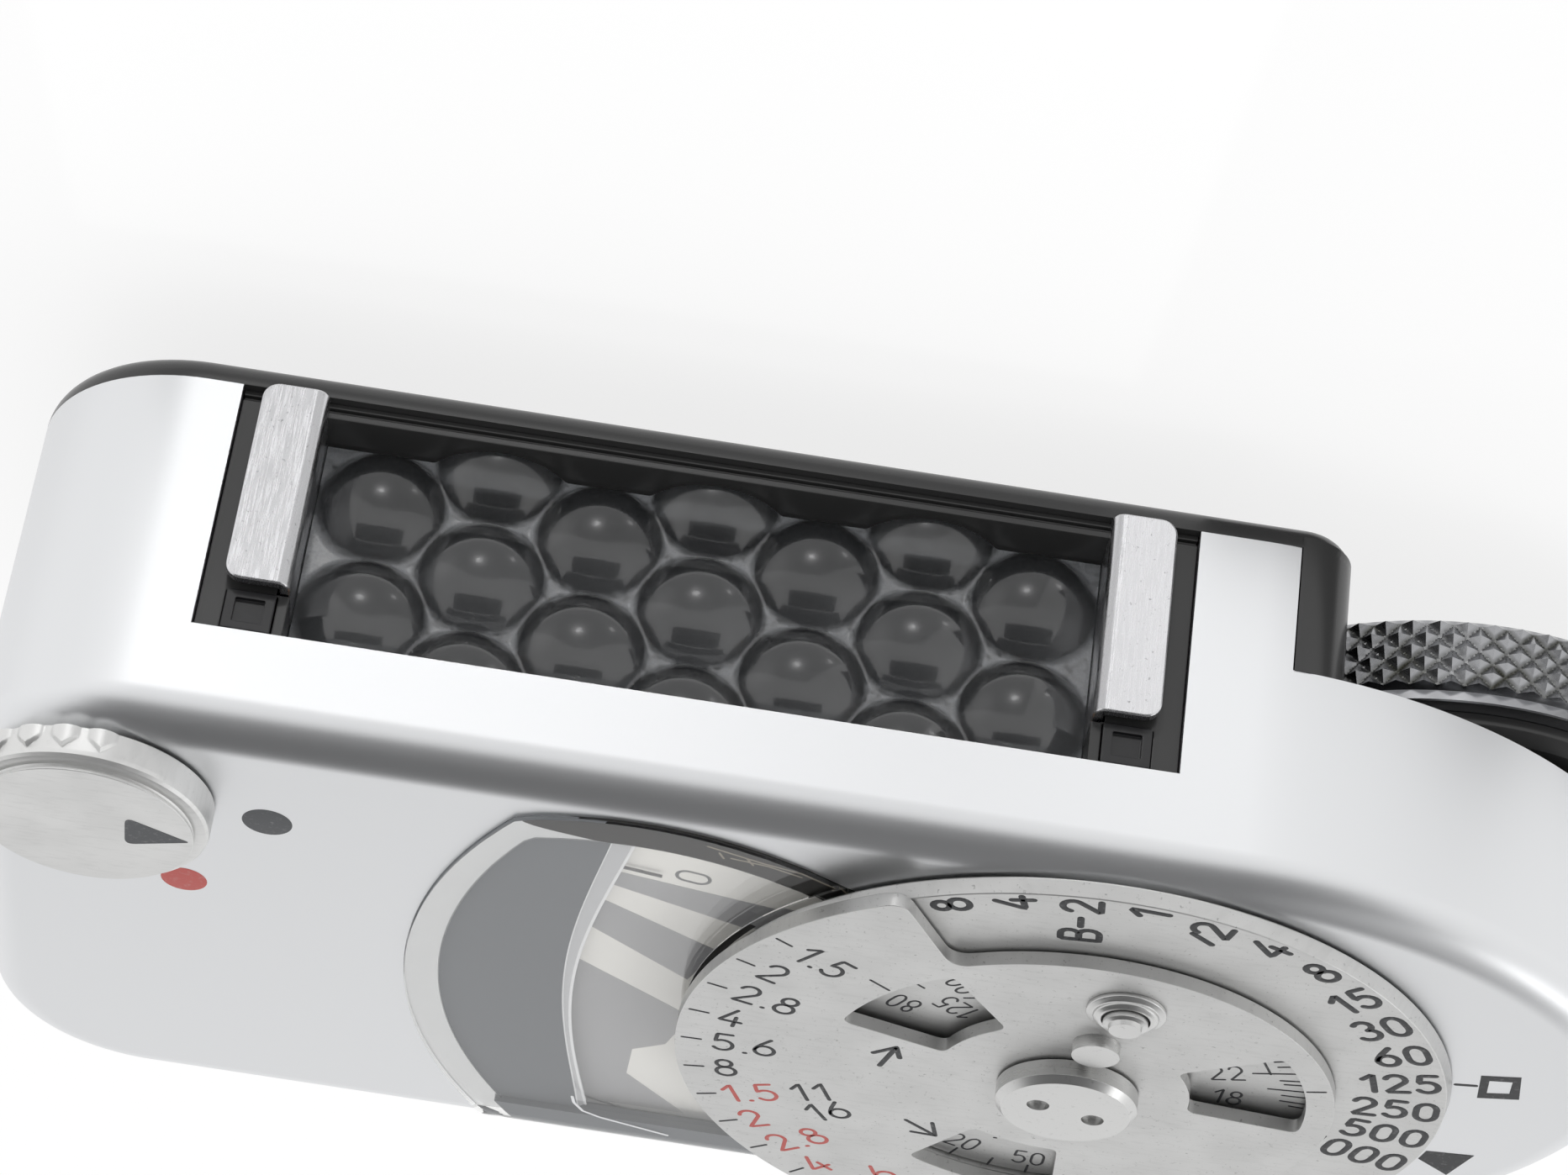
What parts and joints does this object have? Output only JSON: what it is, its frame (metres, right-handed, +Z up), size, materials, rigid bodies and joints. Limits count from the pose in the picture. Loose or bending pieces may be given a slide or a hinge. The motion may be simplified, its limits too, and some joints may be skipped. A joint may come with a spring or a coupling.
{
  "type": "shoe mount light meter",
  "caption": "Clip-on selenium exposure meter for a camera shoe: honeycomb window, needle scale, geared dial stack, range knob and a knurled coupling wheel.",
  "frame": {"origin": "centre of the underside of the shoe foot", "axes": "+X to the right, towards the dial; +Y forward, out of the lens window; +Z up, out of the dial face"},
  "size_m": [0.0748, 0.034, 0.024],
  "materials": {
    "satin_chrome": "satin",
    "black_plastic": "glossy, slightly worn",
    "black_paint": "matt",
    "clear_plastic": "clear, slightly hazy",
    "bright_nickel": "bright",
    "dark_contact": "dull",
    "selenium": "satin",
    "brass": "turned",
    "spring_bronze": "satin",
    "steel": "turned",
    "magnet_steel": "dark",
    "grey_mask": "matt",
    "white_plate": "satin",
    "aluminium": "plain",
    "copper": "enamelled wire",
    "board": "laminate",
    "ceramic": "glazed",
    "red_lead": "insulation",
    "needle_black": "matt"
  },
  "bodies": {
    "housing": {"top_cover": "satin_chrome", "base_housing": "black_plastic", "overhang_plate": "black_paint", "window_frame": "black_plastic", "honeycomb_lens": "clear_plastic", "rail_left": "bright_nickel", "rail_right": "bright_nickel", "booster_contacts": "dark_contact", "selenium_cell": "selenium", "cell_backing": "brass", "cell_contacts": "spring_bronze", "needle_window": "clear_plastic", "mask_plate": "grey_mask", "scale_plate": "white_plate", "shoe_foot": "steel", "foot_spring": "steel", "foot_screws": "steel", "base_screws": "steel", "plate_screws": "steel", "magnet_yoke": "magnet_steel", "magnet_core": "magnet_steel", "core_support": "brass", "upper_bridge": "brass", "lower_bridge": "brass", "bridge_screws": "steel", "dial_bridge": "brass", "dial_bush": "brass", "wheel_bushes": "brass", "contact_board": "board", "shunt_resistors": "ceramic", "lead_wires": "red_lead"},
    "moving_coil": {"coil_frame": "aluminium", "coil_winding": "copper", "coil_spindle": "steel", "needle": "needle_black", "balance_arms": "brass", "hairspring": "spring_bronze"},
    "dial": {"dial_spindle": "steel", "dial_gear": "brass", "speed_ring": "satin_chrome", "film_speed_disc": "satin_chrome", "centre_nut": "satin_chrome"},
    "aperture_dial": {"aperture_plate": "satin_chrome", "button_collar": "satin_chrome", "stop_rivet": "steel"},
    "film_button": {"setting_button": "satin_chrome"},
    "wheel": {"coupling_wheel": "satin_chrome", "wheel_disc": "black_plastic", "wheel_shaft": "steel", "wheel_pinion": "steel", "pin_spring": "steel"},
    "pin": {"coupling_pin": "steel"},
    "knob": {"range_knob": "satin_chrome", "knob_shaft": "steel", "range_wiper": "spring_bronze"},
    "zero_adjuster": {"zero_screw": "steel"},
    "zero_arm": {"zero_lever": "brass"}
  },
  "joints": [
    {"name": "dial_spin", "type": "hinge", "parent": "housing", "child": "dial", "pos_m": [0.02, 0, 0.0214], "axis": [0, 0, 1], "range_deg": [-100.7, 30.2]},
    {"name": "wheel_spin", "type": "hinge", "parent": "housing", "child": "wheel", "pos_m": [0.03497, 0.001, 0.011], "axis": [0, 0, 1], "range_deg": [-70.6, 235.1]},
    {"name": "film_speed_set", "type": "hinge", "parent": "dial", "child": "aperture_dial", "pos_m": [0.02, 0, 0.0228], "axis": [0, 0, 1], "range_deg": [-40, 40]},
    {"name": "film_button_press", "type": "slide", "parent": "aperture_dial", "child": "film_button", "axis": [0, 0, -1], "range_m": [0, 0.0003], "stiffness_N_per_m": 200},
    {"name": "coupling_pin_press", "type": "slide", "parent": "wheel", "child": "pin", "axis": [0, 0, 1], "range_m": [0, 0.0007], "stiffness_N_per_m": 200, "deforming": ["pin_spring"]},
    {"name": "needle_swing", "type": "hinge", "parent": "housing", "child": "moving_coil", "pos_m": [0.017, -0.0005, 0.0104], "axis": [0, 0, 1], "range_deg": [0, 57], "stiffness_Nm_per_rad": 0.00002},
    {"name": "range_knob_turn", "type": "hinge", "parent": "housing", "child": "knob", "pos_m": [-0.0214, 0.0109, 0.0214], "axis": [0, 0, 1], "range_deg": [-57, 0]},
    {"name": "zero_screw_turn", "type": "hinge", "parent": "housing", "child": "zero_adjuster", "pos_m": [0.01366, -0.00448, 0.0047], "axis": [0, 0, 1], "range_deg": [-35, 35]},
    {"name": "zero_lever_turn", "type": "hinge", "parent": "housing", "child": "zero_arm", "pos_m": [0.017, -0.0005, 0.0059], "axis": [0, 0, 1], "range_deg": [-6.3, 6.3]}
  ],
  "couplings": [
    {"joint": "wheel_spin", "follows": "dial_spin", "ratio": -2.3333},
    {"joint": "zero_lever_turn", "follows": "zero_screw_turn", "ratio": -0.175}
  ]
}
